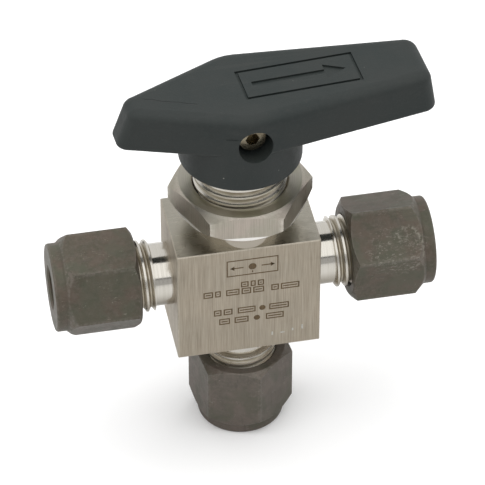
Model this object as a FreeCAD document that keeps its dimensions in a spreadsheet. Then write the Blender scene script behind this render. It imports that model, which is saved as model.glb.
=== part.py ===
import FreeCAD, Part
import Sketcher
import math
import os
import re

# Three way ball valve for quarter inch tube: one tube end below, one on each
# side, a lever handle on top.  Millimetres, +Z up along the stem, +X out of the
# right tube end, -Y out of the marked front face.  The origin is the centre of
# the bottom coupling nut's outer face, which the valve stands on.

SIZES = [
    # block and its three male tube ends
    ("block_width", 22.2), ("block_depth", 14.3), ("block_height", 20.5),
    ("block_edge", 0.15), ("port_rise", 11.5), ("port_length", 13.3),
    ("port_thread_radius", 5.556), ("port_neck_relief", 0.056), ("port_neck_length", 2.95),
    ("port_pitch", 1.27), ("port_thread_depth", 0.65), ("port_end_chamfer", 0.6),
    ("tube_radius", 3.25), ("tube_stop_depth", 3.0), ("mouth_depth", 2.4),
    ("mouth_wall", 1.256), ("passage_radius", 2.35),
    # coupling nuts and ferrules
    ("nut_gap", 5.3), ("nut_length", 13.1), ("nut_flats", 14.29),
    ("nut_chamfer_radius", 7.0), ("nut_chamfer_slope", 0.62), ("nut_collar_radius", 6.8),
    ("nut_collar_length", 1.6), ("nut_shoulder_slope", 1.1), ("nut_edge", 0.4),
    ("thread_clearance", 0.06), ("ferrule_clearance", 0.1), ("ferrule_nose", 1.7),
    ("ferrule_tail", 2.1), ("ferrule_land", 0.25), ("ferrule_inset", 1.006), ("ferrule_tail_inset", 1.806),
    # neck that carries the panel nut, and the packing nut inside it
    ("shank_radius", 6.95), ("shank_length", 2.3), ("neck_thread_radius", 7.144),
    ("neck_length", 14.3), ("lip_radius", 6.35), ("lip_length", 1.5),
    ("neck_pitch", 1.411), ("neck_thread_depth", 0.72), ("panel_nut_lift", 3.4),
    ("panel_nut_height", 4.9), ("panel_nut_flats", 19.05), ("panel_nut_chamfer", 0.55),
    ("under_inset", 0.5), ("under_chamfer", 1.05), ("panel_nut_turn", 54.8),
    ("corner_inset", 0.2), ("lead_in", 0.2), ("tube_lead_in", 0.3),
    # ball, seats and stem packing
    ("cavity_radius", 4.95), ("seat_wall", 0.8), ("seat_floor", 0.85),
    ("stem_radius", 2.5), ("stem_drop", 0.1), ("running_clearance", 0.05),
    ("seat_gap", 0.02), ("seat_rise", 5.2), ("disc_radius", 3.5), ("disc_thickness", 0.4),
    ("gland_height", 1.4), ("washer_rise", 0.35), ("washer_thickness", 0.45),
    ("bushing_radius", 3.5), ("packing_nut_drop", 2.6), ("wrench_slot_width", 1.6),
    ("wrench_slot_depth", 1.6), ("pin_radius", 0.5), ("pin_depth", 2.5), ("pin_rise", 1.4),
    # handle
    ("handle_angle", 4.27), ("bar_height", 6.5), ("bar_rise", 6.05), ("bar_draft", 8.0),
    ("bar_half_width", 8.66), ("waist_shift", 0.65), ("tip_reach", 28.2), ("tip_half_width", 4.88),
    ("tail_reach", 17.1), ("tail_half_width", 2.15), ("tail_slope", 2.35),
    ("tip_round", 2.2), ("waist_round", 8.0), ("tail_round", 1.9), ("top_round", 1.8),
    ("under_round", 0.6), ("hub_radius", 9.35), ("hub_gap", 0.95), ("hub_edge", 0.4),
    ("lip_clearance", 0.3), ("recess_ceiling", 0.4), ("insert_radius", 3.9),
    ("insert_height", 9.0), ("insert_lift", 0.2), ("slot_clearance", 0.15),
    ("slot_height", 1.6), ("slot_spare_angle", 1.0), ("screw_height", 7.85),
    ("screw_radius", 2.0), ("screw_length", 4.7), ("screw_socket", 1.1),
    ("screw_socket_depth", 1.8), ("screw_hole_radius", 2.6), ("stem_flat", 2.2),
    ("engraving_depth", 0.3), ("engraving_width", 0.45), ("frame_start", 0.0),
    ("frame_length", 18.0), ("frame_half_width", 3.4), ("arrow_half_width", 1.6), ("arrow_inset", 1.8),
]

# Places that follow from the sizes above.
PLACES = [
    ("block_bottom", "nut_length + nut_gap"),
    ("block_top", "block_bottom + block_height"),
    ("port_z", "block_bottom + port_rise"),
    ("port_end_x", "block_width / 2 + port_length"),
    ("port_end_z", "block_bottom - port_length"),
    ("neck_top", "block_top + neck_length"),
    ("thread_top", "neck_top - lip_length"),
    ("shank_top", "block_top + shank_length"),
    ("port_neck_radius", "port_thread_radius - port_thread_depth - port_neck_relief"),
    ("mouth_radius", "port_thread_radius - mouth_wall"),
    ("ferrule_radius", "port_thread_radius - ferrule_inset"),
    ("ferrule_tail_radius", "port_thread_radius - ferrule_tail_inset"),
    ("ball_radius", "cavity_radius - seat_wall"),
    ("cavity_drop", "ball_radius + seat_floor"),
    ("cavity_floor", "port_z - cavity_drop"),
    ("packed_radius", "cavity_radius - seat_gap"),
    ("seat_top", "port_z + seat_rise"),
    ("spring_floor", "seat_top + gland_height"),
    ("washer_step", "washer_rise + washer_thickness"),
    ("spring_top", "spring_floor + 3 * washer_step"),
    ("packing_floor", "spring_top + gland_height"),
    ("packing_nut_top", "neck_top - packing_nut_drop"),
    ("stem_bore", "stem_radius + running_clearance"),
    ("hub_bottom", "neck_top - hub_gap"),
    ("recess_top", "neck_top + recess_ceiling"),
    ("bar_bottom", "hub_bottom + bar_rise"),
    ("handle_top", "bar_bottom + bar_height"),
    ("insert_bottom", "recess_top + insert_lift"),
    ("insert_top", "insert_bottom + insert_height"),
    ("stem_rise", "insert_top - stem_drop - port_z"),
    ("pocket_radius", "insert_radius + seat_gap"),
    ("pin_circle", "(cavity_radius + lip_radius) / 2"),
    ("slot_inner", "pin_circle - pin_radius - slot_clearance"),
    ("slot_outer", "pin_circle + pin_radius + slot_clearance"),
    ("screw_z", "hub_bottom + screw_height"),
    ("nut_end", "nut_gap + nut_length"),
    ("nut_bore", "port_thread_radius + thread_clearance"),
    ("seat_end", "port_length + ferrule_tail + ferrule_clearance * sqrt(2)"),
]

doc = FreeCAD.newDocument("three_way_valve")
sheet = doc.addObject("Spreadsheet::Sheet", "Sizes")
for row, (size_name, value) in enumerate(SIZES + PLACES, start=1):
    cell = "A%d" % row
    sheet.set(cell, str(value) if isinstance(value, float) else "=" + value)
    sheet.setAlias(cell, size_name)
doc.recompute()

SIZE_NAMES = {name for name, _ in SIZES + PLACES}
CORNER = 1.0 / (2.0 * math.cos(math.radians(30)))   # hexagon: corner radius over width across flats
nodes = {}


def formula(text):
    """The expression that reads each named size in text from the sheet."""
    return re.sub(r"[a-z][a-z_]*", lambda m: "Sizes." + m[0] if m[0] in SIZE_NAMES else m[0], text)


def size(text):
    """The present value of an expression in the named sizes."""
    return float(sheet.evalExpression(formula(text)))


def bind(thing, **expressions):
    """Tie properties to the sheet."""
    for name, text in expressions.items():
        thing.setExpression(name.replace("__", "."), formula(text))


def at(x=0.0, y=0.0, z=0.0, turn=None):
    return FreeCAD.Placement(FreeCAD.Vector(x, y, z), turn or FreeCAD.Rotation())


def about(x, y, z, angle):
    return FreeCAD.Rotation(FreeCAD.Vector(x, y, z), angle)


# ---------------------------------------------------------------- sketches

def sketch_on(body, name, plane, x="0", y="0", z="0"):
    """A sketch on one of the body's own planes, shifted in that plane's axes."""
    sketch = body.newObject("Sketcher::SketchObject", name)
    origin = [f for f in body.Origin.OriginFeatures if f.Role == plane][0]
    sketch.AttachmentSupport = [(origin, "")]
    sketch.MapMode = "FlatFace"
    for axis, shift in zip("xyz", (x, y, z)):
        if shift != "0":
            sketch.setExpression("AttachmentOffset.Base." + axis, formula(shift))
    return sketch


def draw(sketch, points):
    """A closed outline of straight lines, each corner held by two sizes."""
    values = [FreeCAD.Vector(size(px), size(py), 0) for px, py in points]
    count = len(points)
    first = sketch.GeometryCount
    for i in range(count):
        sketch.addGeometry(Part.LineSegment(values[i], values[(i + 1) % count]))
    for i in range(count):
        sketch.addConstraint(Sketcher.Constraint("Coincident", first + i, 2, first + (i + 1) % count, 1))
    for i, (px, py) in enumerate(points):
        hold(sketch, first + i, 1, "DistanceX", px, values[i].x)
        hold(sketch, first + i, 1, "DistanceY", py, values[i].y)


def hold(sketch, line, end, kind, text, value):
    """Hold one coordinate of a line's end at a size measured from the sketch's origin."""
    if text == "0":
        axis = -2 if kind == "DistanceX" else -1
        sketch.addConstraint(Sketcher.Constraint("PointOnObject", line, end, axis))
        return
    index = sketch.addConstraint(Sketcher.Constraint(kind, -1, 1, line, end, value))
    sketch.setExpression("Constraints[%d]" % index, formula(text))


def ring(sketch, radius, x="0", y="0"):
    """A full circle."""
    centre = FreeCAD.Vector(size(x), size(y), 0)
    circle = sketch.addGeometry(Part.Circle(centre, FreeCAD.Vector(0, 0, 1), size(radius)))
    hold(sketch, circle, 3, "DistanceX", x, centre.x)
    hold(sketch, circle, 3, "DistanceY", y, centre.y)
    index = sketch.addConstraint(Sketcher.Constraint("Radius", circle, size(radius)))
    sketch.setExpression("Constraints[%d]" % index, formula(radius))


def hexagon(flats):
    """The six corners of a hexagon, by its width across flats."""
    corners = []
    for k in range(6):
        angle = math.radians(60 * k)
        corners.append(("%s * %.9f" % (flats, CORNER * math.cos(angle)),
                        "%s * %.9f" % (flats, CORNER * math.sin(angle))))
    return corners


# ---------------------------------------------------------------- features

def new_body(name):
    body = doc.addObject("PartDesign::Body", name)
    body.Label = name
    nodes[name] = body
    return body


def pad(body, sketch, length, name, reverse=False, draft=None):
    feature = body.newObject("PartDesign::Pad", name)
    feature.Profile = sketch
    feature.Reversed = reverse
    bind(feature, Length=length)
    if draft:
        bind(feature, TaperAngle=draft)
    doc.recompute()
    return feature


def turn(body, sketch, name, axis="V_Axis", cut=False, angle=None):
    """Turn a profile about a sketch axis, to add or to cut; a part turn is centred on the sketch."""
    before = 0.0 if body.Tip is None else body.Shape.Volume
    feature = body.newObject("PartDesign::Groove" if cut else "PartDesign::Revolution", name)
    feature.Profile = sketch
    feature.ReferenceAxis = (sketch, [axis])
    if angle:
        feature.Midplane = True
        bind(feature, Angle=angle)
    else:
        feature.Angle = 360
    doc.recompute()
    check_changed(body, before, cut, name)
    return feature


def pocket(body, sketch, depth, name, reverse=False, both=False):
    before = body.Shape.Volume
    feature = body.newObject("PartDesign::Pocket", name)
    feature.Profile = sketch
    feature.Reversed = reverse
    if both:
        feature.SideType = "Symmetric"
    bind(feature, Length=depth)
    doc.recompute()
    check_changed(body, before, True, name)
    return feature


def thread(body, sketch, name, axis, pitch, height):
    """Cut a right-hand screw thread with the groove profile in the sketch."""
    before = body.Shape.Volume
    feature = body.newObject("PartDesign::SubtractiveHelix", name)
    feature.Profile = sketch
    feature.ReferenceAxis = (sketch, [axis])
    feature.Mode = "pitch-height-angle"
    bind(feature, Pitch=pitch, Height=height)
    doc.recompute()
    check_changed(body, before, True, name)
    return feature


def check_changed(body, before, cut, name):
    after = body.Shape.Volume
    if (cut and after >= before - 1e-6) or (not cut and after <= before + 1e-6):
        raise RuntimeError("%s did not change %s" % (name, body.Label))


def dress(body, kind, name, amount, chosen):
    """A fillet or chamfer on the edges that chosen() picks."""
    base = body.Tip
    edges = ["Edge%d" % (i + 1) for i, e in enumerate(base.Shape.Edges) if chosen(e)]
    if not edges:
        raise RuntimeError("%s found no edge" % name)
    feature = body.newObject("PartDesign::" + kind, name)
    feature.Base = (base, edges)
    bind(feature, **{"Radius" if kind == "Fillet" else "Size": amount})
    doc.recompute()
    return feature


def box_of(edge):
    b = edge.BoundBox
    return b.XLength, b.YLength, b.ZLength, b


def turned(name, points):
    """A node that is one profile turned about Z: points are radius and height."""
    body = new_body(name)
    sketch = sketch_on(body, name + "_profile", "XZ_Plane")
    draw(sketch, points)
    turn(body, sketch, name + "_turned")
    return body


# ---------------------------------------------------------------- plain solids

def cylinder(name, radius, height, x="0", y="0", z="0", turn_to=None):
    solid = doc.addObject("Part::Cylinder", name)
    solid.Placement = at(turn=turn_to)
    bind(solid, Radius=radius, Height=height)
    bind(solid, Placement__Base__x=x, Placement__Base__y=y, Placement__Base__z=z)
    return solid


def sphere(name, radius, z):
    solid = doc.addObject("Part::Sphere", name)
    bind(solid, Radius=radius, Placement__Base__z=z)
    return solid


def joined(name, solids):
    fuse = doc.addObject("Part::MultiFuse", name)
    fuse.Shapes = solids
    return fuse


def less(name, base, tools):
    """The base with every tool cut away."""
    result = doc.addObject("Part::Cut", name)
    result.Base = base
    result.Tool = tools[0] if len(tools) == 1 else joined(name + "_tools", tools)
    return result


def keep(name, solid):
    solid.Label = name
    nodes[name] = solid
    doc.recompute()
    return solid


ALONG_X = about(0, 1, 0, 90)
ALONG_FRONT = about(1, 0, 0, 90)


# ---------------------------------------------------------------- valve body

def groove_profile(sketch, along_x, radius, depth, start):
    """A sixty degree thread groove with a narrow flat root, just past the crest outside."""
    slope = math.tan(math.radians(30))
    root_half, over = 0.1, 0.1
    wide = "(%s + %g) * %.6f + %g" % (depth, over, slope, root_half)
    corners = [("%s + %g" % (radius, over), "(%s) + (%s)" % (start, wide)),
               ("%s - %s" % (radius, depth), "(%s) + %g" % (start, root_half)),
               ("%s - %s" % (radius, depth), "(%s) - %g" % (start, root_half)),
               ("%s + %g" % (radius, over), "(%s) - (%s)" % (start, wide))]
    draw(sketch, [(b, a) for a, b in corners] if along_x else corners)


def port_profile(outer, end, step):
    """Half of the outline of a threaded tube end: outer is the end face's place, step points back."""
    return [(outer, "0"), (outer, "port_thread_radius - port_end_chamfer"),
            ("%s %s port_end_chamfer" % (outer, step), "port_thread_radius"),
            (end, "port_thread_radius"), (end, "port_neck_radius")]


def make_valve_body():
    body = new_body("valve_body")
    block = sketch_on(body, "block_outline", "XY_Plane", z="block_bottom")
    draw(block, [("-block_width / 2", "-block_depth / 2"), ("block_width / 2", "-block_depth / 2"),
                 ("block_width / 2", "block_depth / 2"), ("-block_width / 2", "block_depth / 2")])
    pad(body, block, "block_height", "block")
    dress(body, "Chamfer", "block_edges", "block_edge", lambda edge: True)

    upright = sketch_on(body, "upright_profile", "XZ_Plane")
    lower = [(r, z) for z, r in port_profile("port_end_z", "block_bottom - port_neck_length", "+")]
    draw(upright, lower + [("port_neck_radius", "port_z"), ("shank_radius", "port_z"),
                           ("shank_radius", "shank_top"), ("neck_thread_radius", "shank_top"),
                           ("neck_thread_radius", "thread_top"), ("lip_radius", "thread_top"),
                           ("lip_radius", "neck_top"), ("0", "neck_top")])
    turn(body, upright, "neck_and_bottom_port")

    level = sketch_on(body, "level_profile", "XZ_Plane", y="port_z")
    left = port_profile("-port_end_x", "-block_width / 2 - port_neck_length", "+")
    right = port_profile("port_end_x", "block_width / 2 + port_neck_length", "-")
    draw(level, left + right[::-1])
    turn(body, level, "side_ports", axis="H_Axis")

    stack = sketch_on(body, "cavity_profile", "XZ_Plane")
    draw(stack, [("0", "neck_top + 1"), ("cavity_radius", "neck_top + 1"),
                 ("cavity_radius", "cavity_floor"), ("passage_radius", "cavity_floor"),
                 ("passage_radius", "block_bottom - tube_stop_depth"),
                 ("tube_radius", "block_bottom - tube_stop_depth"),
                 ("tube_radius", "port_end_z + mouth_depth"), ("mouth_radius", "port_end_z"),
                 ("mouth_radius", "port_end_z - 1"), ("0", "port_end_z - 1")])
    turn(body, stack, "cavity", cut=True)

    for side, sign in (("left", "-"), ("right", "+")):
        bore = sketch_on(body, side + "_bore_profile", "XZ_Plane", y="port_z")
        edge = "%s(port_end_x" % sign
        stop = "%s(block_width / 2 + tube_stop_depth)" % sign
        draw(bore, [(edge + " + 1)", "0"), (edge + " + 1)", "mouth_radius"),
                    (edge + ")", "mouth_radius"), (edge + " - mouth_depth)", "tube_radius"),
                    (stop, "tube_radius"), (stop, "passage_radius"),
                    ("%s(cavity_radius / 2)" % sign, "passage_radius"),
                    ("%s(cavity_radius / 2)" % sign, "0")])
        turn(body, bore, side + "_bore", axis="H_Axis", cut=True)

    hole = sketch_on(body, "pin_hole_outline", "XY_Plane", z="neck_top")
    ring(hole, "pin_radius", y="pin_circle")
    pocket(body, hole, "pin_depth", "pin_hole")

    run = "port_length - port_neck_length + 1.1 * port_pitch"
    below = sketch_on(body, "bottom_thread_profile", "XZ_Plane")
    groove_profile(below, False, "port_thread_radius", "port_thread_depth", "port_end_z - 0.6 * port_pitch")
    thread(body, below, "bottom_thread", "V_Axis", "port_pitch", run)
    for side, start in (("left", "-port_end_x - 0.6 * port_pitch"),
                        ("right", "block_width / 2 + port_neck_length - 0.5 * port_pitch")):
        level = sketch_on(body, side + "_thread_profile", "XZ_Plane", y="port_z")
        groove_profile(level, True, "port_thread_radius", "port_thread_depth", start)
        thread(body, level, side + "_thread", "H_Axis", "port_pitch", run)
    above = sketch_on(body, "neck_thread_profile", "XZ_Plane")
    groove_profile(above, False, "neck_thread_radius", "neck_thread_depth", "shank_top + 0.3 * neck_pitch")
    thread(body, above, "neck_thread", "V_Axis", "neck_pitch", "thread_top - shank_top + 0.3 * neck_pitch")


# ---------------------------------------------------------------- ball, seats and packing

def make_ball_stem():
    whole = joined("ball_and_stem", [sphere("ball", "ball_radius", "port_z"),
                                     cylinder("stem", "stem_radius", "stem_rise", z="port_z")])
    flat = doc.addObject("Part::Box", "stem_flat_cut")
    bind(flat, Length="2 * stem_radius", Width="stem_radius", Height="2 * screw_hole_radius")
    bind(flat, Placement__Base__x="-stem_radius", Placement__Base__y="-stem_flat - stem_radius",
         Placement__Base__z="screw_z - screw_hole_radius")
    down = cylinder("ball_inlet", "passage_radius", "2 * ball_radius", z="port_z - 2 * ball_radius")
    out = cylinder("ball_outlet", "passage_radius", "2 * ball_radius", z="port_z", turn_to=ALONG_X)
    elbow = sphere("ball_elbow", "passage_radius", "port_z")
    stem = keep("ball_stem", less("ball_stem", whole, [down, out, elbow, flat]))
    stem.Placement = at(turn=about(0, 0, 1, size("handle_angle")))


def saddle(name, inner, outer, bore):
    """A curved disc round a side passage: the part of a pipe along X within a pipe wall round Z."""
    wall = less(name + "_wall",
                cylinder(name + "_wall_outer", outer, "4 * disc_radius", z="port_z - 2 * disc_radius"),
                [cylinder(name + "_wall_inner", inner, "6 * disc_radius", z="port_z - 3 * disc_radius")])
    rod = cylinder(name + "_rod", bore, "4 * cavity_radius", x="-2 * cavity_radius", z="port_z",
                   turn_to=ALONG_X)
    both = doc.addObject("Part::Common", name + "_both")
    both.Base = wall
    both.Tool = rod
    return both


def make_seats():
    inner = "packed_radius - disc_thickness"
    for side, start in (("left", "-2 * cavity_radius"), ("right", "0")):
        blank = saddle(side + "_disc_blank", inner, "packed_radius", "disc_radius")
        half = cylinder(side + "_half", "2 * disc_radius", "2 * cavity_radius", x=start, z="port_z",
                        turn_to=ALONG_X)
        kept = doc.addObject("Part::Common", side + "_disc_kept")
        kept.Base = blank
        kept.Tool = half
        flow = cylinder(side + "_disc_flow", "passage_radius", "4 * cavity_radius", x="-2 * cavity_radius",
                        z="port_z", turn_to=ALONG_X)
        keep(side + "_side_disc", less(side + "_side_disc", kept, [flow]))

    halves = (("lower_seat", "cavity_floor", "cavity_drop"), ("upper_seat", "port_z", "seat_rise"))
    for name, floor, height in halves:
        tools = [sphere(name + "_pocket", "ball_radius + running_clearance", "port_z"),
                 cylinder(name + "_flow", "passage_radius", "4 * cavity_radius", x="-2 * cavity_radius",
                          z="port_z", turn_to=ALONG_X),
                 saddle(name + "_recess", inner + " - seat_gap", "cavity_radius + 1",
                        "disc_radius + seat_gap")]
        if name == "lower_seat":
            tools.append(cylinder("inlet_flow", "passage_radius", "2 * cavity_drop",
                                  z="cavity_floor - cavity_drop"))
            tools.append(cylinder("disc_recess", "disc_radius + seat_gap",
                                  "disc_thickness + seat_gap + 1", z="cavity_floor - 1"))
        else:
            tools.append(cylinder("stem_hole", "stem_bore", "2 * seat_rise", z="port_z"))
        keep(name, less(name, cylinder(name + "_blank", "packed_radius", height, z=floor), tools))


def washer_points(level, flipped):
    """A dished washer's section: inner edge high, or low when flipped."""
    base = "spring_floor + %d * washer_step" % level
    inside, outside = ("", " + washer_rise") if flipped else (" + washer_rise", "")
    inner, outer = "bushing_radius + 2 * running_clearance", "packed_radius - running_clearance"
    return [(inner, base + inside), (outer, base + outside),
            (outer, base + outside + " + washer_thickness"), (inner, base + inside + " + washer_thickness")]


def make_stem_packing():
    def flat_ring(name, inner, outer, low, high):
        turned(name, [(inner, low), (outer, low), (outer, high), (inner, high)])

    flat_ring("bottom_disc", "passage_radius", "disc_radius", "cavity_floor", "cavity_floor + disc_thickness")
    flat_ring("lower_gland", "stem_bore", "packed_radius", "seat_top", "spring_floor")
    flat_ring("stem_bushing", "stem_bore", "bushing_radius", "spring_floor", "spring_top")
    flat_ring("upper_gland", "stem_bore", "packed_radius", "spring_top", "packing_floor")

    washers = []
    for level in range(3):
        body = doc.addObject("PartDesign::Body", "washer_%d" % level)
        sketch = sketch_on(body, "washer_profile_%d" % level, "XZ_Plane")
        draw(sketch, washer_points(level, level % 2 == 1))
        turn(body, sketch, "washer_turned_%d" % level)
        washers.append(body)
    group = doc.addObject("Part::Compound", "disc_springs")
    group.Links = washers
    keep("disc_springs", group)

    nut = turned("packing_nut", [
        ("stem_bore", "packing_floor"), ("packed_radius", "packing_floor"),
        ("packed_radius", "packing_nut_top"), ("stem_bore", "packing_nut_top")])
    slot = sketch_on(nut, "wrench_slot_outline", "XY_Plane", z="packing_nut_top")
    draw(slot, [("-cavity_radius", "-wrench_slot_width / 2"), ("cavity_radius", "-wrench_slot_width / 2"),
                ("cavity_radius", "wrench_slot_width / 2"), ("-cavity_radius", "wrench_slot_width / 2")])
    pocket(nut, slot, "wrench_slot_depth", "wrench_slot")

    pin = cylinder("stop_pin", "pin_radius", "pin_depth + pin_rise", y="pin_circle", z="neck_top - pin_depth")
    keep("stop_pin", pin)


# ---------------------------------------------------------------- hexagon nuts

def trim_corners(body, name, wide, face, inward, radius, slope):
    """Cone off a hexagon's corners at one end: radius is where the cone meets the end face."""
    cone = sketch_on(body, name + "_profile", "XZ_Plane")
    outward = "-" if inward == "+" else "+"
    draw(cone, [(radius, face), (radius, "%s %s 1" % (face, outward)), (wide, "%s %s 1" % (face, outward)),
                (wide, "%s %s (%s - %s) * %s" % (face, inward, wide, radius, slope))])
    turn(body, cone, name, cut=True)


def make_panel_nut():
    body = new_body("panel_nut")
    low = "block_top + panel_nut_lift"
    high = low + " + panel_nut_height"
    outline = sketch_on(body, "panel_nut_outline", "XY_Plane", z=low)
    draw(outline, hexagon("panel_nut_flats"))
    pad(body, outline, "panel_nut_height", "panel_nut_hexagon")
    trim_corners(body, "panel_lower_cone", "panel_nut_flats", low, "+",
                 "panel_nut_flats / 2 - under_inset", "under_chamfer")
    trim_corners(body, "panel_upper_cone", "panel_nut_flats", high, "-",
                 "panel_nut_flats / 2 - corner_inset", "panel_nut_chamfer")
    bore = sketch_on(body, "panel_nut_bore_profile", "XZ_Plane")
    inner = "neck_thread_radius + thread_clearance"
    mouth = inner + " + 2 * lead_in"
    draw(bore, [("0", low + " - lead_in"), (mouth, low + " - lead_in"), (inner, low + " + lead_in"),
                (inner, high + " - lead_in"), (mouth, high + " + lead_in"), ("0", high + " + lead_in")])
    turn(body, bore, "panel_nut_bore", cut=True)
    body.Placement = at(turn=about(0, 0, 1, size("panel_nut_turn")))


# Each tube end: the turn that brings local +Z out of the block, and the turn of its hexagon.
PORTS = [
    ("left", about(0, 1, 0, -90), 21.3, ("-block_width / 2", "port_z")),
    ("right", about(0, 1, 0, 90), 8.2, ("block_width / 2", "port_z")),
    ("bottom", about(1, 0, 0, 180), 18.6, ("0", "block_bottom")),
]


def make_coupling(side, outward, hexagon_turn, place):
    """A coupling nut and its ferrule, drawn with the block's face at zero and +Z outward."""
    nut = new_body(side + "_nut")
    outline = sketch_on(nut, side + "_nut_outline", "XY_Plane", z="nut_gap")
    draw(outline, hexagon("nut_flats"))
    pad(nut, outline, "nut_length", side + "_nut_hexagon")
    trim_corners(nut, side + "_inner_cone", "nut_flats", "nut_gap", "+", "nut_chamfer_radius",
                 "nut_chamfer_slope")
    shoulder = "nut_end - nut_collar_length"
    trim_corners(nut, side + "_shoulder", "nut_flats", shoulder, "-", "nut_collar_radius",
                 "nut_shoulder_slope")
    collar = sketch_on(nut, side + "_collar_profile", "XZ_Plane")
    draw(collar, [("nut_collar_radius", shoulder), ("nut_flats", shoulder),
                  ("nut_flats", "nut_end + 1"), ("nut_collar_radius", "nut_end + 1")])
    turn(nut, collar, side + "_collar", cut=True)
    end = size("nut_end")
    dress(nut, "Fillet", side + "_collar_edge", "nut_edge",
          lambda e: abs(box_of(e)[3].ZMin - end) < 1e-4 and box_of(e)[2] < 1e-4)
    bore = sketch_on(nut, side + "_nut_bore_profile", "XZ_Plane")
    seat_start = "seat_end - (nut_bore - ferrule_tail_radius)"
    draw(bore, [("0", "nut_gap - lead_in"), ("nut_bore + 2 * lead_in", "nut_gap - lead_in"),
                ("nut_bore", "nut_gap + lead_in"), ("nut_bore", seat_start),
                ("ferrule_tail_radius", "seat_end"), ("tube_radius", "seat_end"),
                ("tube_radius", "nut_end - tube_lead_in"),
                ("tube_radius + 2 * tube_lead_in", "nut_end + tube_lead_in"),
                ("0", "nut_end + tube_lead_in")])
    turn(nut, bore, side + "_nut_bore", cut=True)

    bore_radius = "tube_radius + seat_gap"
    lean = "(mouth_radius - tube_radius) / mouth_depth"
    nose = "port_length - ferrule_nose"
    tail = "port_length + ferrule_tail"
    ferrule = turned(side + "_ferrule", [
        (bore_radius, nose),
        ("mouth_radius - ferrule_nose * %s - ferrule_clearance" % lean, nose),
        ("mouth_radius - ferrule_clearance", "port_length"),
        ("mouth_radius - ferrule_clearance", "port_length + ferrule_land"),
        ("ferrule_radius", "port_length + ferrule_land + ferrule_radius - mouth_radius"),
        ("ferrule_radius", tail + " - (ferrule_radius - ferrule_tail_radius)"),
        ("ferrule_tail_radius", tail), (bore_radius, tail)])
    x, z = place
    spot = FreeCAD.Vector(size(x), 0, size(z))
    nut.Placement = FreeCAD.Placement(spot, outward * about(0, 0, 1, hexagon_turn))
    ferrule.Placement = FreeCAD.Placement(spot, outward)


# ---------------------------------------------------------------- handle

def upright_edges(low, high):
    """Edges of the bar that run from its top to its underside, between two places along X."""
    tall = 0.9 * size("bar_height")
    return lambda e: box_of(e)[2] > tall and low < box_of(e)[3].Center.x < high


def level_edges(height):
    place = size(height)
    return lambda e: box_of(e)[2] < 1e-4 and abs(box_of(e)[3].ZMin - place) < 1e-4


def shape_bar(body):
    """The lever: a long blunt tip, a short tail, sides that widen downward."""
    half, tip, tail = "bar_half_width", "tip_half_width", "tail_half_width"
    outline = sketch_on(body, "bar_outline", "XY_Plane", z="handle_top")
    end = "-(tail_reach + tail_slope)"
    end_half = "(%s - tail_slope * (%s - %s) / (tail_reach - waist_shift))" % (tail, half, tail)
    draw(outline, [("tip_reach", "-" + tip), ("tip_reach", tip), ("-waist_shift", half),
                   (end, end_half), (end, "-" + end_half), ("-waist_shift", "-" + half)])
    pad(body, outline, "bar_height", "bar", reverse=True, draft="bar_draft")

    slope = sketch_on(body, "tail_slope_profile", "XZ_Plane")
    draw(slope, [("-tail_reach", "handle_top"), ("-tail_reach", "handle_top + 1"),
                 ("-2 * tail_reach", "handle_top + 1"), ("-2 * tail_reach", "bar_bottom - 1"),
                 (end, "bar_bottom - 1"), (end, "bar_bottom")])
    pocket(body, slope, "4 * bar_half_width", "tail_end", both=True)
    waist = 2.0
    dress(body, "Fillet", "tip_corners", "tip_round", upright_edges(waist, size("2 * tip_reach")))
    dress(body, "Fillet", "waist_corners", "waist_round", upright_edges(-waist, waist))
    dress(body, "Fillet", "tail_corners", "tail_round", upright_edges(size("-2 * tail_reach"), -waist))
    dress(body, "Fillet", "top_edge", "top_round", level_edges("handle_top"))
    dress(body, "Fillet", "under_edge", "under_round", level_edges("bar_bottom"))


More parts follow.
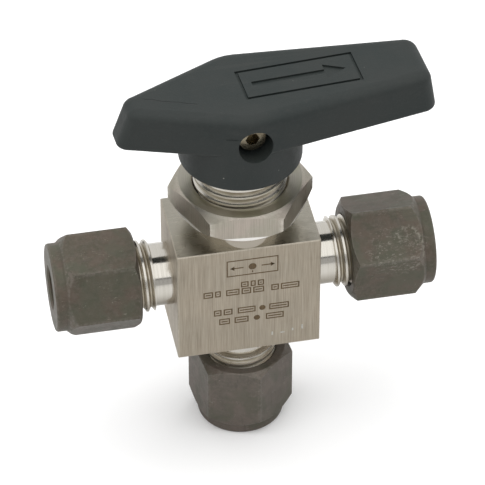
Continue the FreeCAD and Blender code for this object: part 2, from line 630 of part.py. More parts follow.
def make_handle():
    body = new_body("handle")
    shape_bar(body)
    hub = sketch_on(body, "hub_profile", "XZ_Plane")
    buried = "bar_height / 2"
    draw(hub, [("0", "hub_bottom"), ("hub_radius", "hub_bottom"), ("hub_radius", "bar_bottom"),
               ("hub_radius - %s * tan(bar_draft) - seat_gap" % buried, "bar_bottom + " + buried),
               ("0", "bar_bottom + " + buried)])
    turn(body, hub, "hub")
    dress(body, "Fillet", "hub_lower_edge", "hub_edge", level_edges("hub_bottom"))

    socket = sketch_on(body, "socket_profile", "XZ_Plane")
    recess = "lip_radius + lip_clearance"
    draw(socket, [("0", "hub_bottom - 1"), (recess, "hub_bottom - 1"), (recess, "recess_top"),
                  ("pocket_radius", "recess_top"), ("pocket_radius", "insert_top + seat_gap"),
                  ("0", "insert_top + seat_gap")])
    turn(body, socket, "stem_socket", cut=True)
    slot = sketch_on(body, "stop_slot_profile", "XZ_Plane")
    draw(slot, [("slot_inner", "hub_bottom - 1"), ("slot_outer", "hub_bottom - 1"),
                ("slot_outer", "recess_top + slot_height"), ("slot_inner", "recess_top + slot_height")])
    turn(body, slot, "stop_slot", cut=True,
         angle="180 + 2 * (pin_radius / pin_circle * 180 / pi + slot_spare_angle)")
    hole = sketch_on(body, "screw_hole_outline", "XZ_Plane")
    ring(hole, "screw_hole_radius", y="screw_z")
    pocket(body, hole, "2 * hub_radius", "screw_hole", reverse=True)

    marks = sketch_on(body, "top_marks", "XY_Plane", z="handle_top")
    for inset in ("0", "engraving_width"):
        low, high = "frame_start + " + inset, "frame_start + frame_length - " + inset
        side = "(frame_half_width - %s)" % inset
        draw(marks, [(low, "-" + side), (high, "-" + side), (high, side), (low, side)])
    shaft, head = "engraving_width", "arrow_half_width"
    back, point = "frame_start + arrow_inset", "frame_start + frame_length - arrow_inset"
    neck = point + " - 2 * arrow_half_width"
    draw(marks, [(back, "-" + shaft), (neck, "-" + shaft), (neck, "-" + head), (point, "0"),
                 (neck, head), (neck, shaft), (back, shaft)])
    pocket(body, marks, "engraving_depth", "top_engraving")

    insert = turned("handle_insert", [
        ("stem_radius + seat_gap", "insert_bottom"), ("insert_radius", "insert_bottom"),
        ("insert_radius", "insert_top"), ("stem_radius + seat_gap", "insert_top")])
    tapped = sketch_on(insert, "tapped_hole_outline", "XZ_Plane")
    ring(tapped, "screw_radius + seat_gap", y="screw_z")
    pocket(insert, tapped, "2 * insert_radius", "tapped_hole", reverse=True)

    shank = cylinder("screw_shank", "screw_radius", "screw_length", y="-stem_flat - seat_gap", z="screw_z",
                     turn_to=ALONG_FRONT)
    key = doc.addObject("Part::Prism", "screw_socket")
    key.Placement = at(turn=ALONG_FRONT)
    bind(key, Circumradius="screw_socket", Height="2 * screw_socket_depth", Placement__Base__z="screw_z",
         Placement__Base__y="-stem_flat - seat_gap - screw_length + screw_socket_depth")
    screw = keep("set_screw", less("set_screw", shank, [key]))
    for piece in (body, insert, screw):
        piece.Placement = at(turn=about(0, 0, 1, size("handle_angle")))


make_valve_body()
make_ball_stem()
make_seats()
make_stem_packing()
make_panel_nut()
for port in PORTS:
    make_coupling(*port)
make_handle()
doc.recompute()

problems = ["%s: %s" % (o.Name, o.State) for o in doc.Objects if {"Invalid", "Error"} & set(o.State)]
for name, thing in nodes.items():
    if thing.Shape.isNull() or not thing.Shape.isValid():
        problems.append(name + ": no valid shape")
if problems:
    raise RuntimeError("\n".join(problems))
os.makedirs("parts", exist_ok=True)
for name, thing in sorted(nodes.items()):
    thing.Shape.exportStep("parts/%s.step" % name)
    b = thing.Shape.BoundBox
    print("%-18s solids %d  volume %9.3f  z %.2f..%.2f" % (name, len(thing.Shape.Solids), thing.Shape.Volume,
                                                         b.ZMin, b.ZMax))
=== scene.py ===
import math

import bpy
import numpy as np
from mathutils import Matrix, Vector


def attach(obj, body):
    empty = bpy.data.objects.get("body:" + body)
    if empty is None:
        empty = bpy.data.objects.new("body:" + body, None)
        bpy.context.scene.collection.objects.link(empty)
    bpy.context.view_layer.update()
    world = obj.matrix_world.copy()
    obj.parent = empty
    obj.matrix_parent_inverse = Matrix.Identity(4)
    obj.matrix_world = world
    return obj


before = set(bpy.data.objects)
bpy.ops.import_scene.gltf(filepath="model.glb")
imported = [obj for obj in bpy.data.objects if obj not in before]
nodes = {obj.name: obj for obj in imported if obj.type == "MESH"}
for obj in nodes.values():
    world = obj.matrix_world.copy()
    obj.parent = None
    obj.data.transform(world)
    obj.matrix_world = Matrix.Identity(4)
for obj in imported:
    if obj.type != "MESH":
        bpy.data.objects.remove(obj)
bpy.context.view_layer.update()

MM = 0.001
scene = bpy.context.scene

# Places on the part, in millimetres, as the frame has them.
BLOCK_HALF_WIDTH, BLOCK_HALF_DEPTH = 11.1, 7.15
BLOCK_BOTTOM, BLOCK_TOP, PORT_Z = 18.4, 38.9, 29.9
NUT_LOW, NUT_HIGH = 42.3, 47.2
PORT_THREAD_RADIUS, NECK_THREAD_RADIUS = 5.556, 7.144
PORT_NECK_LENGTH = 2.95
SHANK_TOP = 41.2
HANDLE_TOP = 64.8
HANDLE_TURN = math.radians(4.27)
# Along a coupling nut, from the block's face: its inner end and the start of its collar.
NUT_INNER_END, COLLAR_START = 5.3, 16.8
NUT_CHAMFER_RADIUS, NUT_CHAMFER_SLOPE = 7.0, 0.62
COLLAR_RADIUS, SHOULDER_SLOPE = 6.8, 1.1
# The middle of the one hard knock, high on the front of the right nut.
KNOCKED_SPOT = (23.6, -6.6, 33.7)


# ------------------------------------------------------------------ node helpers

class Nodes:
    """A node tree under construction. Each method adds nodes and returns an output."""

    def __init__(self, tree, coordinates):
        self.tree = tree
        self.place = self.add("ShaderNodeTexCoord").outputs[coordinates]

    def add(self, kind, **settings):
        node = self.tree.nodes.new(kind)
        for key, value in settings.items():
            setattr(node, key, value)
        return node

    def feed(self, socket, source):
        if isinstance(source, bpy.types.NodeSocket):
            self.tree.links.new(source, socket)
        elif isinstance(source, tuple) and len(source) == 3 and len(socket.default_value) == 4:
            socket.default_value = (*source, 1.0)
        elif source is not None:
            socket.default_value = source

    def shift(self, scale=(1, 1, 1), spin=(0, 0, 0), move=(0, 0, 0), source=None):
        node = self.add("ShaderNodeMapping")
        self.feed(node.inputs["Vector"], source or self.place)
        node.inputs["Location"].default_value = move
        node.inputs["Rotation"].default_value = spin
        node.inputs["Scale"].default_value = scale
        return node.outputs["Vector"]

    def noise(self, scale, vector=None, detail=4.0, rough=0.55, warp=0.0):
        node = self.add("ShaderNodeTexNoise")
        self.feed(node.inputs["Vector"], vector or self.place)
        node.inputs["Scale"].default_value = scale
        node.inputs["Detail"].default_value = detail
        node.inputs["Roughness"].default_value = rough
        node.inputs["Distortion"].default_value = warp
        return node.outputs["Fac"]

    def cells(self, scale):
        """The distance to the nearest of many scattered points."""
        node = self.add("ShaderNodeTexVoronoi")
        self.feed(node.inputs["Vector"], self.place)
        node.inputs["Scale"].default_value = scale
        return node.outputs["Distance"]

    def math(self, kind, a, b=None):
        node = self.add("ShaderNodeMath", operation=kind)
        for socket, source in zip(node.inputs, (a, b)):
            self.feed(socket, source)
        return node.outputs[0]

    def most(self, *sources):
        total = sources[0]
        for source in sources[1:]:
            total = self.math("MAXIMUM", total, source)
        return total

    def times(self, *sources):
        total = sources[0]
        for source in sources[1:]:
            total = self.math("MULTIPLY", total, source)
        return total

    def ramp(self, source, low, high, from_value=0.0, to_value=1.0):
        """source carried from the range low..high to from_value..to_value, smoothly and no further."""
        node = self.add("ShaderNodeMapRange", interpolation_type="SMOOTHSTEP")
        flip = low > high
        ends = (high, low, to_value, from_value) if flip else (low, high, from_value, to_value)
        for key, value in zip(("From Min", "From Max", "To Min", "To Max"), ends):
            node.inputs[key].default_value = value
        self.feed(node.inputs["Value"], source)
        return node.outputs["Result"]

    def blend(self, amount, a, b):
        """The colour a, or b where amount is 1."""
        node = self.add("ShaderNodeMix", data_type="RGBA")
        self.feed(node.inputs["Factor"], amount)
        self.feed(node.inputs[6], a)
        self.feed(node.inputs[7], b)
        return node.outputs[2]

    def either(self, amount, a, b):
        """The number a, or b where amount is 1."""
        node = self.add("ShaderNodeMix", data_type="FLOAT")
        self.feed(node.inputs["Factor"], amount)
        self.feed(node.inputs[2], a)
        self.feed(node.inputs[3], b)
        return node.outputs[0]

    def axes(self, source=None):
        node = self.add("ShaderNodeSeparateXYZ")
        self.feed(node.inputs[0], source or self.place)
        return node.outputs[0], node.outputs[1], node.outputs[2]

    def radius(self, a, b):
        return self.math("SQRT", self.math("ADD", self.times(a, a), self.times(b, b)))

    def near(self, source, value, width):
        """1 where source is at value, falling to 0 at width away."""
        away = self.math("ABSOLUTE", self.math("SUBTRACT", source, value))
        return self.ramp(away, width, 0.0)

    def bump(self, height, distance, after=None):
        """distance is in millimetres."""
        node = self.add("ShaderNodeBump")
        self.feed(node.inputs["Distance"], self.times(distance, MM))
        node.inputs["Strength"].default_value = 1.0
        self.feed(node.inputs["Height"], height)
        if after is not None:
            self.feed(node.inputs["Normal"], after)
        return node.outputs["Normal"]


class Shader(Nodes):
    """A material with one Principled surface, on Object coordinates in millimetres."""

    def __init__(self, name):
        self.material = bpy.data.materials.new(name)
        self.material.use_nodes = True
        super().__init__(self.material.node_tree, "Object")
        self.surface = self.tree.nodes["Principled BSDF"]
        self.place = self.shift((1 / MM,) * 3)

    def finish(self, color, rough, metal=0.0, normal=None, **sockets):
        values = {"Base Color": color, "Roughness": rough, "Metallic": metal, "Normal": normal}
        values.update({key.replace("_", " "): value for key, value in sockets.items()})
        for key, value in values.items():
            self.feed(self.surface.inputs[key], value)
        return self.material


# ------------------------------------------------------------------ metals

def body_look():
    """Stainless block with upright brushing, lathe lines on its tube ends and neck, worn bright edges, and
    painted shade under the side necks and on the shank below the panel nut.
    """
    s = Shader("stainless_body")
    x, y, z = s.axes()
    out_x, out_y = s.math("ABSOLUTE", x), s.math("ABSOLUTE", y)
    up = s.math("SUBTRACT", z, PORT_Z)
    side_end = s.ramp(out_x, BLOCK_HALF_WIDTH + 0.02, BLOCK_HALF_WIDTH + 0.06)
    neck = s.ramp(z, BLOCK_TOP + 0.02, BLOCK_TOP + 0.06)
    foot = s.ramp(z, BLOCK_BOTTOM - 0.02, BLOCK_BOTTOM - 0.06)
    turned = s.most(side_end, neck, foot)
    reach = s.either(side_end, s.radius(x, y), s.radius(y, up))
    crest_radius = s.either(neck, PORT_THREAD_RADIUS, NECK_THREAD_RADIUS)
    sunk = s.math("SUBTRACT", crest_radius, reach)

    brushed = s.noise(1.0, s.shift((9.5, 9.5, 0.16)), detail=5.0, rough=0.62)
    broad = s.noise(1.0, s.shift((1.6, 1.6, 0.05)), detail=3.0)
    top_face = s.times(s.ramp(z, BLOCK_TOP - 0.04, BLOCK_TOP - 0.01), s.math("SUBTRACT", 1.0, neck))
    milled = s.noise(1.0, s.shift((0.5, 9.0, 0.5)), detail=4.0)
    lathe_x = s.noise(1.0, s.shift((11.0, 0.12, 0.12)), detail=4.0, rough=0.7)
    lathe_z = s.noise(1.0, s.shift((0.12, 0.12, 11.0)), detail=4.0, rough=0.7)
    lathe = s.either(side_end, lathe_z, lathe_x)
    grain = s.either(turned, s.either(top_face, brushed, milled), lathe)

    tint = s.noise(0.16, detail=3.0)
    front = s.blend(s.ramp(tint, 0.3, 0.7), (0.470, 0.410, 0.328), (0.445, 0.396, 0.320))
    front = s.blend(s.ramp(brushed, 0.36, 0.64, 0.0, 0.58), front, (0.275, 0.238, 0.185))
    front = s.blend(s.ramp(broad, 0.52, 0.72, 0.0, 0.28), front, (0.54, 0.490, 0.41))
    top = s.blend(s.ramp(milled, 0.35, 0.65, 0.0, 0.35), (0.43, 0.405, 0.345), (0.33, 0.31, 0.26))
    flat_metal = s.blend(top_face, front, top)
    bright = s.blend(s.ramp(lathe, 0.35, 0.65, 0.0, 0.4), (0.70, 0.67, 0.61), (0.52, 0.49, 0.42))
    root = s.times(turned, s.ramp(sunk, 0.18, 0.58), s.ramp(s.noise(0.5, detail=3.0), 0.3, 0.6, 0.55, 1.0))
    side_thread = BLOCK_HALF_WIDTH + PORT_NECK_LENGTH
    foot_thread = BLOCK_BOTTOM - PORT_NECK_LENGTH
    threaded = s.times(s.ramp(out_x, side_thread - 0.15, side_thread + 0.15), side_end)
    threaded = s.most(threaded, s.ramp(z, SHANK_TOP - 0.1, SHANK_TOP + 0.1),
                      s.ramp(z, foot_thread + 0.15, foot_thread - 0.15))
    root = s.times(root, threaded)
    bright = s.blend(s.times(root, 0.62), bright, (0.33, 0.275, 0.175))
    # Painted shade: the undersides of the side tube necks, below the port axis, are darkened in colour, with
    # blotchy variation.
    tarnish_and_painted_shade = s.times(side_end, s.ramp(up, 0.6, -2.6), s.ramp(tint, 0.2, 0.6, 0.7, 1.0))
    bright = s.blend(s.times(tarnish_and_painted_shade, 0.85), bright, (0.40, 0.355, 0.285))
    # Painted shade: the plain shank under the panel nut is darkened in colour, where the nut shades it.
    painted_shank_shade = s.times(neck, s.ramp(z, SHANK_TOP + 0.2, SHANK_TOP - 0.1))
    bright = s.blend(s.times(painted_shank_shade, 0.8), bright, (0.36, 0.32, 0.26))
    color = s.blend(turned, flat_metal, bright)

    gap_x = s.math("SUBTRACT", BLOCK_HALF_WIDTH, out_x)
    gap_y = s.math("SUBTRACT", BLOCK_HALF_DEPTH, out_y)
    gap_z = s.math("MINIMUM", s.math("SUBTRACT", BLOCK_TOP, z), s.math("SUBTRACT", z, BLOCK_BOTTOM))
    small, large = s.math("MINIMUM", gap_x, gap_y), s.math("MAXIMUM", gap_x, gap_y)
    middle = s.most(small, s.math("MINIMUM", large, gap_z))
    ragged = s.ramp(s.noise(1.3, detail=4.0), 0.3, 0.65, 0.3, 1.0)
    edge = s.times(s.ramp(middle, 0.26, 0.08), s.math("SUBTRACT", 1.0, turned), ragged)
    color = s.blend(s.times(edge, 0.40), color, (0.62, 0.58, 0.50))
    drawn = s.shift((2.2, 2.2, 0.35), spin=(0.2, 0.5, 0.1))
    scratch = s.ramp(s.noise(1.0, drawn, detail=6.0, rough=0.8, warp=0.6), 0.66, 0.72)
    color = s.blend(s.times(scratch, 0.3), color, (0.62, 0.60, 0.55))
    smudge = s.ramp(s.noise(0.35, detail=5.0, warp=0.8), 0.5, 0.75, 0.0, 0.10)

    rough_flat = s.math("ADD", s.ramp(brushed, 0.3, 0.7, 0.40, 0.52), smudge)
    rough_top = s.math("ADD", s.ramp(milled, 0.3, 0.7, 0.26, 0.34), smudge)
    rough_turned = s.math("ADD", s.ramp(lathe, 0.3, 0.7, 0.08, 0.19), s.times(threaded, 0.12))
    rough_turned = s.math("ADD", rough_turned, s.times(root, 0.15))
    rough = s.either(turned, s.either(top_face, rough_flat, rough_top), rough_turned)
    normal = s.bump(grain, s.either(turned, s.either(top_face, 0.012, 0.0012), 0.003))
    normal = s.bump(scratch, 0.004, after=normal)
    return s.finish(color, rough, 1.0, normal)


def panel_nut_look():
    """Turned hexagon nut: rings on its end faces, level mill lines on its flats, worn bright corners and top
    rim, and a painted highlight along the lower chamfer.
    """
    s = Shader("panel_nut_steel")
    x, y, z = s.axes()
    reach = s.radius(x, y)
    face = s.most(s.ramp(z, NUT_HIGH - 0.05, NUT_HIGH - 0.02), s.ramp(z, NUT_LOW + 0.05, NUT_LOW + 0.02))
    rings = s.add("ShaderNodeCombineXYZ")
    s.feed(rings.inputs[0], s.times(reach, 7.0))
    lathe = s.noise(1.0, rings.outputs[0], detail=4.0, rough=0.7)
    milled = s.noise(1.0, s.shift((5.5, 5.5, 0.2)), detail=4.0, rough=0.6)
    grain = s.either(face, milled, lathe)
    tint = s.noise(0.22, detail=4.0)
    color = s.blend(s.ramp(tint, 0.35, 0.65), (0.47, 0.415, 0.36), (0.42, 0.395, 0.33))
    color = s.blend(face, color, s.blend(s.ramp(tint, 0.4, 0.6), (0.40, 0.39, 0.31), (0.46, 0.44, 0.38)))
    color = s.blend(s.ramp(grain, 0.38, 0.66, 0.0, 0.4), color, (0.30, 0.27, 0.225))
    corner = s.ramp(reach, 10.55, 10.9)
    # Painted highlight: a near-white band of colour along the nut's lower chamfer.
    lower_chamfer_highlight = s.times(s.ramp(reach, 8.6, 8.9), s.ramp(z, NUT_LOW + 1.10, NUT_LOW + 0.95))
    rim = s.times(s.ramp(reach, 9.2, 9.4), s.near(z, NUT_HIGH - 0.15, 0.2), 0.35)
    wear = s.times(s.most(corner, rim), s.ramp(s.noise(1.1, detail=4.0), 0.3, 0.6, 0.25, 1.0))
    color = s.blend(s.times(wear, 0.45), color, (0.70, 0.67, 0.60))
    color = s.blend(lower_chamfer_highlight, color, (0.92, 0.90, 0.86))
    rough = s.math("ADD", s.ramp(grain, 0.3, 0.7, 0.27, 0.40), s.ramp(tint, 0.5, 0.7, 0.0, 0.08))
    rough = s.either(s.times(wear, 0.6), rough, 0.2)
    rough = s.either(lower_chamfer_highlight, rough, 0.42)
    return s.finish(color, rough, 1.0, s.bump(grain, 0.006))


def coated_look(side):
    """Dark dry-film coating on a coupling nut: mottled brown and olive, rubbed edges, scuffed flats."""
    s = Shader(side + "_nut_coating")
    x, y, z = s.axes()
    if side == "bottom":
        reach, along = s.radius(x, y), s.math("SUBTRACT", BLOCK_BOTTOM, z)
        grain_scale = (3.0, 3.0, 0.35)
        brown, olive_brown, pale = (0.142, 0.117, 0.099), (0.118, 0.104, 0.086), (0.165, 0.142, 0.122)
    else:
        reach = s.radius(y, s.math("SUBTRACT", z, PORT_Z))
        along = s.math("SUBTRACT", s.math("ABSOLUTE", x), BLOCK_HALF_WIDTH)
        grain_scale = (0.35, 3.0, 3.0)
        brown, olive_brown, pale = (0.106, 0.083, 0.063), (0.080, 0.075, 0.053), (0.130, 0.109, 0.090)
    blotch = s.noise(0.34, detail=5.0, rough=0.62, warp=0.4)
    mottle = s.noise(1.5, detail=5.0, rough=0.7)
    speck = s.noise(5.5, detail=3.0, rough=0.7)
    drawn = s.noise(1.0, s.shift(grain_scale), detail=4.0)
    color = s.blend(s.ramp(blotch, 0.38, 0.62), brown, olive_brown)
    color = s.blend(s.ramp(mottle, 0.40, 0.68, 0.0, 0.65), color, pale)
    color = s.blend(s.ramp(speck, 0.56, 0.74, 0.0, 0.45), color, (0.155, 0.142, 0.125))
    color = s.blend(s.ramp(drawn, 0.55, 0.72, 0.0, 0.30), color, (0.060, 0.055, 0.047))
    olive = s.ramp(s.noise(0.22, detail=2.0), 0.47, 0.60, 0.0, 0.45)
    color = s.blend(olive, color, (0.088, 0.094, 0.066))

    corner = s.ramp(reach, 7.95, 8.22)
    inner_slope = s.times(s.math("SUBTRACT", reach, NUT_CHAMFER_RADIUS), NUT_CHAMFER_SLOPE)
    outer_slope = s.times(s.math("SUBTRACT", reach, COLLAR_RADIUS), SHOULDER_SLOPE)
    inner_curve = s.math("SUBTRACT", s.math("SUBTRACT", along, NUT_INNER_END), inner_slope)
    outer_curve = s.math("ADD", s.math("SUBTRACT", along, COLLAR_START), outer_slope)
    rims = s.most(s.near(inner_curve, 0.0, 0.22), s.near(outer_curve, 0.0, 0.22))
    rims = s.times(rims, s.ramp(reach, NUT_CHAMFER_RADIUS, NUT_CHAMFER_RADIUS + 0.1))
    end_edge = s.times(s.ramp(along, 17.95, 18.2), s.ramp(reach, 6.0, 6.35))
    ragged = s.ramp(s.noise(1.7, detail=5.0, rough=0.65), 0.36, 0.62)
    worn = s.times(s.most(corner, s.times(rims, 0.8), s.times(end_edge, 0.7)), ragged)
    color = s.blend(s.times(worn, 0.55), color, (0.215, 0.195, 0.170))
    scuff_field = s.noise(0.42, s.shift(move=(7.0, 3.0, 1.0)), detail=2.0)
    strokes = s.noise(1.0, s.shift((1.1, 2.6, 2.6), spin=(0.3, 0.5, 0.4)), detail=6.0, rough=0.75, warp=1.6)
    scuff = s.times(s.ramp(scuff_field, 0.50, 0.60), s.ramp(strokes, 0.58, 0.66))
    if side == "right":
        knock_place = s.shift(move=tuple(-place for place in KNOCKED_SPOT))
        knock_x, knock_y, knock_z = s.axes(knock_place)
        knock_reach = s.radius(s.times(knock_x, 0.8), knock_z)
        knocked = s.times(s.ramp(knock_reach, 4.6, 2.6), s.ramp(knock_y, 3.4, 2.8))
        ring_reach = s.radius(s.math("SUBTRACT", knock_x, 0.6), s.times(knock_z, 1.15))
        ring = s.near(ring_reach, 3.2, 0.4)
        marks_there = s.most(s.ramp(strokes, 0.52, 0.60), s.times(ring, s.ramp(knock_x, 0.8, 2.0)))
        scuff = s.most(scuff, s.times(knocked, marks_there, s.ramp(mottle, 0.42, 0.54)))
    color = s.blend(s.times(scuff, 0.62), color, (0.33, 0.31, 0.26))
    pit = s.ramp(s.cells(1.3), 0.16, 0.05, 0.0, 1.0)
    color = s.blend(s.times(pit, 0.30), color, (0.045, 0.040, 0.035))

    rough = s.math("ADD", s.ramp(mottle, 0.35, 0.7, 0.40, 0.54), s.ramp(blotch, 0.4, 0.7, 0.0, 0.06))
    rough = s.either(s.times(s.most(worn, scuff), 0.5), rough, 0.3)
    metal = s.math("ADD", 0.35, s.times(s.most(worn, scuff), 0.4))
    normal = s.bump(mottle, 0.010)
    normal = s.bump(speck, 0.006, after=normal)
    normal = s.bump(s.math("SUBTRACT", scuff, pit), 0.012, after=normal)
    return s.finish(color, rough, metal, normal, Specular_IOR_Level=0.3)


def turned_look(name, light, shade, rough_low, rough_high):
    """A small turned piece: lathe rings by height, blotches of tarnish, fine specks."""
    s = Shader(name)
    rings = s.noise(1.0, s.shift((0.4, 0.4, 8.0)), detail=4.0, rough=0.7)
    tarnish_and_painted_shade = s.noise(0.6, detail=5.0, warp=0.5)
    speck = s.noise(6.0, detail=3.0)
    color = s.blend(s.ramp(tarnish_and_painted_shade, 0.35, 0.68), light, shade)
    color = s.blend(s.ramp(rings, 0.35, 0.7, 0.0, 0.35), color, shade)
    color = s.blend(s.ramp(speck, 0.6, 0.75, 0.0, 0.3), color, light)
    rough = s.math("ADD", s.ramp(rings, 0.3, 0.7, rough_low, rough_high), s.ramp(tarnish_and_painted_shade, 0.5, 0.7, 0.0, 0.1))
    return s.finish(color, rough, 1.0, s.bump(rings, 0.004))


# ------------------------------------------------------------------ plastics and marks

def handle_look():
    """Moulded dark nylon: fine spark-eroded grain, faint mottling, dust, a rubbed line on the left wing."""
    s = Shader("moulded_nylon")
    _, _, z = s.axes()
    local = s.shift(spin=(0, 0, -HANDLE_TURN))
    grain = s.noise(4.2, detail=3.0, rough=0.6)
    coarse = s.noise(1.1, detail=4.0, rough=0.6)
    cloud = s.noise(0.10, detail=4.0, warp=0.3)
    color = s.blend(s.ramp(cloud, 0.35, 0.65), (0.0200, 0.0255, 0.0245), (0.0260, 0.0300, 0.0285))
    color = s.blend(s.ramp(coarse, 0.45, 0.75, 0.0, 0.5), color, (0.033, 0.037, 0.035))
    color = s.blend(s.ramp(grain, 0.5, 0.8, 0.0, 0.35), color, (0.040, 0.045, 0.043))
    flow = s.noise(1.0, s.shift((0.05, 0.9, 0.9)), detail=4.0, warp=0.5)
    color = s.blend(s.ramp(flow, 0.58, 0.74, 0.0, 0.30), color, (0.040, 0.043, 0.040))

    dust = s.times(s.ramp(s.cells(0.42), 0.055, 0.025), s.ramp(s.noise(0.16, detail=1.0), 0.50, 0.60))
    lint = s.ramp(s.cells(1.6), 0.05, 0.02, 0.0, 0.35)
    color = s.blend(s.most(dust, lint), color, (0.24, 0.24, 0.215))
    line = s.shift(spin=(0, 0, math.radians(24.5)), source=s.shift(move=(10.85, 0.9, 0), source=local))
    line_u, line_v, _ = s.axes(line)
    wobble = s.ramp(s.noise(0.8, detail=2.0), 0.2, 0.8, -0.12, 0.12)
    rub = s.times(s.ramp(s.math("ABSOLUTE", line_u), 4.4, 3.6), s.ramp(z, HANDLE_TOP - 0.6, HANDLE_TOP - 0.3),
                  s.near(s.math("ADD", line_v, wobble), 0.0, 0.16))
    color = s.blend(s.times(rub, 0.75), color, (0.008, 0.009, 0.009))
    rough = s.math("ADD", s.ramp(coarse, 0.35, 0.7, 0.46, 0.56), s.ramp(cloud, 0.4, 0.7, 0.0, 0.05))
    normal = s.bump(grain, 0.020)
    normal = s.bump(coarse, 0.015, after=normal)
    normal = s.bump(rub, -0.03, after=normal)
    return s.finish(color, rough, 0.0, normal, Specular_IOR_Level=0.26)


def seat_look():
    """Machined fluoroplastic: waxy white, faint tool rings, slight grey handling marks."""
    s = Shader("seat_plastic")
    rings = s.noise(1.0, s.shift((0.3, 0.3, 6.0)), detail=3.0)
    cloud = s.noise(0.5, detail=4.0)
    color = s.blend(s.ramp(cloud, 0.3, 0.7), (0.74, 0.74, 0.71), (0.82, 0.82, 0.80))
    color = s.blend(s.ramp(rings, 0.5, 0.8, 0.0, 0.2), color, (0.60, 0.60, 0.57))
    return s.finish(color, s.ramp(cloud, 0.3, 0.7, 0.35, 0.5), 0.0, s.bump(rings, 0.004))


def etch_look():
    """Laser-etched steel: brown oxide, lighter and broken up where the beam ran thin."""
    s = Shader("etched_oxide")
    patch = s.noise(2.4, detail=5.0, rough=0.7)
    fine = s.noise(1.0, s.shift((9.0, 9.0, 0.6)), detail=3.0)
    color = s.blend(s.ramp(patch, 0.35, 0.65), (0.080, 0.048, 0.018), (0.135, 0.090, 0.042))
    color = s.blend(s.ramp(fine, 0.5, 0.75, 0.0, 0.45), color, (0.24, 0.185, 0.115))
    return s.finish(color, s.ramp(patch, 0.3, 0.7, 0.55, 0.7), s.ramp(patch, 0.3, 0.7, 0.1, 0.35),
                    s.bump(patch, 0.004))


def dent_look():
    """The bright burnished floor of a punch mark."""
    s = Shader("burnished_steel")
    patch = s.noise(1.8, detail=4.0)
    color = s.blend(s.ramp(patch, 0.3, 0.7), (0.58, 0.57, 0.53), (0.44, 0.42, 0.37))
    return s.finish(color, s.ramp(patch, 0.3, 0.7, 0.25, 0.4), 1.0, s.bump(patch, 0.004))


INNER_STEEL = turned_look("inner_steel", (0.62, 0.60, 0.55), (0.42, 0.40, 0.35), 0.18, 0.34)
SCREW_STEEL = turned_look("screw_steel", (0.36, 0.32, 0.24), (0.18, 0.15, 0.10), 0.16, 0.30)
BRASS = turned_look("insert_brass", (0.68, 0.52, 0.24), (0.42, 0.30, 0.12), 0.20, 0.36)
SEAT = seat_look()
LOOKS = {"valve_body": body_look(), "panel_nut": panel_nut_look(), "handle": handle_look(),
         "handle_insert": BRASS, "set_screw": SCREW_STEEL, "lower_seat": SEAT, "upper_seat": SEAT,
         "stem_bushing": SEAT}
for side in ("left", "right", "bottom"):
    LOOKS[side + "_nut"] = coated_look(side)
for name, obj in nodes.items():
    obj.data.materials.clear()
    obj.data.materials.append(LOOKS.get(name, INNER_STEEL))


# ------------------------------------------------------------------ marks on the front face

def plates(name, outlines, near, far, body, look):
    """One mesh of flat plates that stand upright and face -Y.

    Each outline is a ring of (x, z) points, anticlockwise as seen from the front. A plate's vertices
    are that ring at the front depth and again at the back depth: its front is one face, its back is
    the ring reversed, and each wall joins two neighbours of one ring to the same two of the other.
    """
    corners, faces = [], []
    for ring in outlines:
        ring = np.asarray(ring, float)
        count, start = len(ring), sum(len(part) for part in corners)
        front = np.column_stack([ring[:, 0], np.full(count, near), ring[:, 1]])
        back = np.column_stack([ring[:, 0], np.full(count, far), ring[:, 1]])
        corners.append(np.vstack([front, back]) * MM)
        step = np.arange(count)
        faces.append(list(start + step))
        faces.append(list(start + count + step[::-1]))
        for i in step:
            j = (i + 1) % count
            faces.append([start + i, start + count + i, start + count + j, start + j])
    mesh = bpy.data.meshes.new(name)
    mesh.from_pydata(np.vstack(corners).tolist(), [], [[int(v) for v in face] for face in faces])
    mesh.materials.append(look)
    piece = bpy.data.objects.new(name, mesh)
    scene.collection.objects.link(piece)
    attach(piece, body)
    return piece


def bar(x0, x1, z0, z1):
    """The outline of an upright box."""
    return [(x0, z0), (x1, z0), (x1, z1), (x0, z1)]


def field(x0, x1, z0, z1, line):
    """The outline of an empty box, as four bars that meet at its corners."""
    return [bar(x0, x1, z0, z0 + line), bar(x0, x1, z1 - line, z1),
            bar(x0, x0 + line, z0 + line, z1 - line), bar(x1 - line, x1, z0 + line, z1 - line)]


def dot(x, z, radius, count=20):
    """A disc: count points at equal angles."""
    angles = np.arange(count) * 2 * math.pi / count
    return np.column_stack([x + radius * np.cos(angles), z + radius * np.sin(angles)])


def arrow(x, z, length, half, turn):
    """An arrowhead that points along turn, an angle from +X."""
    c, s = math.cos(turn), math.sin(turn)
    points = [(0.0, -half), (length, 0.0), (0.0, half)]
    return [(x + c * a - s * b, z + s * a + c * b) for a, b in points]


# A flow plate, then rows of plain boxes and dots: (low, high, [(left, right) of each box], [x of each dot]).
LINE = 0.21
marks = field(-3.5, 4.5, 33.8, 37.0, 0.19)
marks += [bar(-2.9, -0.9, 35.3, 35.5), bar(1.9, 3.9, 35.3, 35.5), bar(0.4, 0.6, 34.2, 34.6)]
marks.append(dot(0.5, 35.4, 0.62))
marks += [arrow(-2.3, 35.4, -0.6, -0.45, 0.0), arrow(3.3, 35.4, 0.6, 0.45, 0.0)]
ROWS = [
    (31.4, 32.5, [(-1.3, -0.1), (0.2, 1.0), (1.3, 2.3)], []),
    (30.0, 31.2, [(-7.1, -5.6), (-5.3, -4.4), (-3.6, -1.5), (-1.2, 0.3), (0.6, 2.3), (3.4, 4.6), (4.9, 7.8)],
     []),
    (26.1, 27.3, [(-5.5, -4.3), (-4.0, -2.6), (-1.8, 1.0), (3.1, 6.2)], [2.05]),
    (24.2, 25.4, [(-4.7, -3.0), (-2.3, -0.1), (2.6, 5.4)], [1.2]),
]
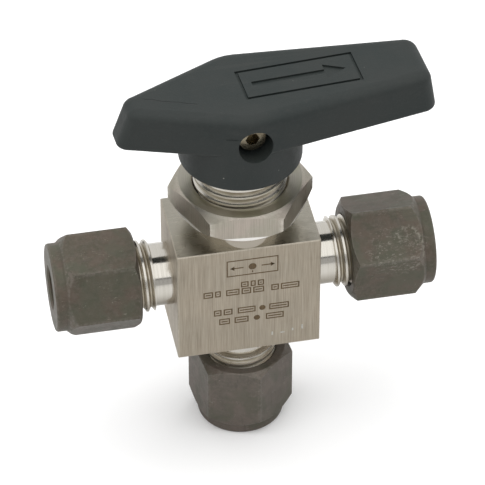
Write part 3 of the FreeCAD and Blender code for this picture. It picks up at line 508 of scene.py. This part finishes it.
for low, high, boxes, dots in ROWS:
    for x0, x1 in boxes:
        marks += field(x0, x1, low, high, LINE)
        marks.append(bar(x0 + 0.35, x1 - 0.35, (low + high - LINE) / 2, (low + high + LINE) / 2))
    marks += [dot(x, (low + high) / 2, 0.5) for x in dots]
FACE_Y = -BLOCK_HALF_DEPTH
plates("front_marks", marks, FACE_Y - 0.012, FACE_Y + 0.012, "valve", etch_look())
ticks = [bar(3.5, 3.75, 20.7, 21.4), bar(4.9, 5.6, 20.9, 21.15),
         bar(6.7, 6.95, 21.1, 21.6), bar(8.2, 8.45, 21.2, 22.1)]
plates("punched_ticks", ticks, FACE_Y - 0.010, FACE_Y + 0.012, "valve", dent_look())


# ------------------------------------------------------------------ camera, floor and light

CAMERA_PLACE = Vector((-75.7, -385.0, 379.3)) * MM
CAMERA_AIM = Vector((0.36, 0.0, 34.04)) * MM
camera = bpy.data.objects.new("camera", bpy.data.cameras.new("camera"))
camera.data.lens = 253.6
camera.data.sensor_width = 36.0
camera.location = CAMERA_PLACE
camera.rotation_euler = (CAMERA_AIM - CAMERA_PLACE).to_track_quat("-Z", "Y").to_euler()
scene.collection.objects.link(camera)
scene.camera = camera


FLOOR_TONE, TONE_TO_CAMERA = 0.67, 0.90
NEAR_GLOW, FAR_GLOW = 0.09, 0.50
GLOW_START, GLOW_END = 120.0, 500.0


def floor_look():
    """A pale matt floor that the camera sees as white where nothing shades it, with more glow further out."""
    s = Shader("floor_look")
    path = s.add("ShaderNodeLightPath")
    seen = s.either(path.outputs["Is Camera Ray"], FLOOR_TONE, TONE_TO_CAMERA)
    tone = s.times(s.ramp(s.noise(0.01), 0.3, 0.7, 0.99, 1.01), seen)
    tint = s.add("ShaderNodeCombineColor")
    for socket in tint.inputs:
        s.feed(socket, tone)
    s.finish(tint.outputs[0], 0.9)
    glow = s.add("ShaderNodeEmission")
    x, y, _ = s.axes()
    strength = s.ramp(s.radius(x, y), GLOW_START, GLOW_END, NEAR_GLOW, FAR_GLOW)
    s.feed(glow.inputs["Strength"], s.times(path.outputs["Is Camera Ray"], strength))
    both = s.add("ShaderNodeAddShader")
    s.feed(both.inputs[0], s.surface.outputs[0])
    s.feed(both.inputs[1], glow.outputs[0])
    s.feed(s.tree.nodes["Material Output"].inputs["Surface"], both.outputs[0])
    return s.material


bpy.ops.mesh.primitive_plane_add(size=3.0, location=(0, 0, 0))
floor = bpy.context.object
floor.name = "floor"
floor.data.materials.append(floor_look())


def lamp(name, place, size, power):
    light = bpy.data.lights.new(name, "AREA")
    light.size = size
    light.energy = power
    holder = bpy.data.objects.new(name, light)
    holder.location = place
    holder.rotation_euler = (Vector((0, 0, 0.03)) - Vector(place)).to_track_quat("-Z", "Y").to_euler()
    holder.visible_glossy = False
    scene.collection.objects.link(holder)


lamp("key", (-0.16, 0.02, 0.68), 0.62, 2.4)
lamp("fill", (0.24, 0.12, 0.62), 0.70, 1.3)


def studio():
    """White to the camera, an even white to matt surfaces, and to shiny ones a soft tent with two dark seams.

    The seams lie along X: one low in front, one just behind overhead. The angle round the X axis
    runs from 0 at the front horizon through 90 overhead to 180 at the back.
    """
    world = bpy.data.worlds.new("studio")
    scene.world = world
    world.use_nodes = True
    s = Nodes(world.node_tree, "Generated")
    _, ahead, up = s.axes()
    angle = s.math("DEGREES", s.math("ARCTAN2", up, s.math("MULTIPLY", ahead, -1.0)))
    tent = s.ramp(angle, 24.0, 27.0, 0.48, 1.22)
    tent = s.either(s.ramp(angle, 90.0, 112.0), tent, 0.85)
    low_seam = s.times(s.ramp(angle, 18.5, 21.0), s.ramp(angle, 26.0, 23.5))
    high_seam = s.times(s.ramp(angle, 92.0, 96.0), s.ramp(angle, 107.0, 101.0))
    tent = s.either(s.times(s.most(low_seam, high_seam), 0.85), tent, 0.12)
    path = s.add("ShaderNodeLightPath")
    level = s.either(path.outputs["Is Glossy Ray"], 0.85, tent)
    level = s.either(path.outputs["Is Transmission Ray"], level, 1.0)
    level = s.either(path.outputs["Is Camera Ray"], level, 1.0)
    background = s.tree.nodes["Background"]
    background.inputs["Color"].default_value = (1, 1, 1, 1)
    s.feed(background.inputs["Strength"], level)


studio()
scene.view_settings.view_transform = "Standard"
